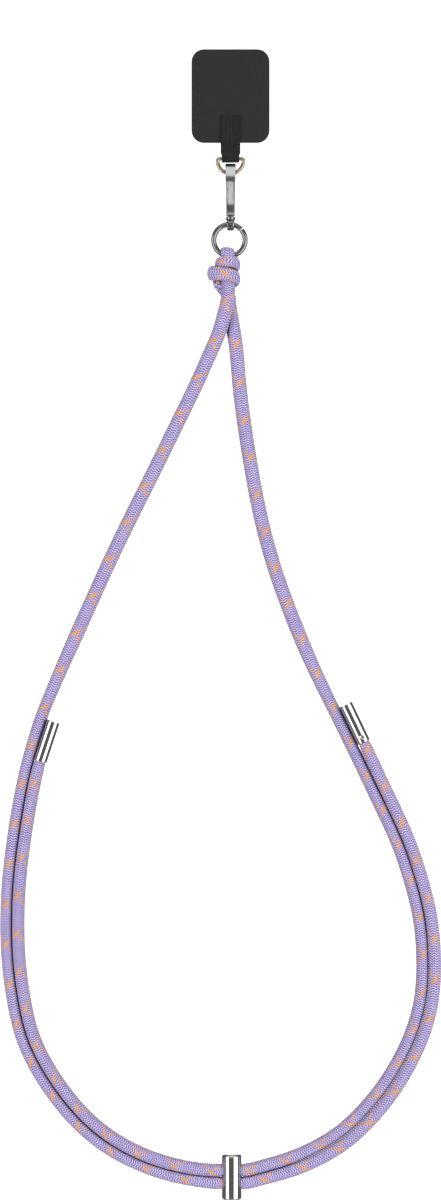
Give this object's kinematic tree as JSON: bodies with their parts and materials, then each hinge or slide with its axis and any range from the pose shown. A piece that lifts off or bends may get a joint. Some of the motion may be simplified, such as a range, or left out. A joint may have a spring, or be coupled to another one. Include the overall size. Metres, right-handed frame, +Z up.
{
  "type": "phone crossbody strap",
  "caption": "Loop of braided cord with capped ends doubled through a barrel slider, knotted to a ring under a sprung swivel snap hook on a D-ring and fold-over patch tab.",
  "frame": {"origin": "where the webbing tab leaves the edge of the case, the place that the strap hangs from", "axes": "+Z up along the hanging strap, +X to the right as pictured, -Y to the front, so the strap hangs flat in the XZ plane"},
  "size_m": [0.2141, 0.0147, 0.5601],
  "materials": {
    "patch": "thin black coated cloth patch",
    "webbing": "black woven webbing, satin",
    "gold": "pale gold plated wire, polished",
    "bright_metal": "plated zinc casting, polished",
    "dark_nickel": "black nickel plated wire, polished",
    "cord": "braided cord, lavender with an orange tracer",
    "polished_metal": "bright silver plating, mirror polished"
  },
  "bodies": {
    "anchor": {"anchor_patch": "patch", "anchor_tab": "webbing", "d_ring": "gold", "clasp_body": "bright_metal", "clasp_pin": "bright_metal"},
    "gate": {"clasp_gate": "bright_metal"},
    "strap": {"clasp_swivel": "bright_metal", "cord_ring": "dark_nickel", "cord_knot": "cord", "cord_left": "cord", "cord_right": "cord", "end_cap_left": "polished_metal", "end_cap_right": "polished_metal", "slider": "polished_metal"}
  },
  "joints": [
    {"name": "gate_hinge", "type": "hinge", "parent": "anchor", "child": "gate", "pos_m": [0, 0.0042, -0.02992], "axis": [1, 0, 0], "range_deg": [0, 20], "stiffness_Nm_per_rad": 0.02, "springref_deg": -28.65},
    {"name": "eye_turn", "type": "hinge", "parent": "anchor", "child": "strap", "pos_m": [0, 0, -0.034], "axis": [0, 0, 1], "continuous": true}
  ]
}
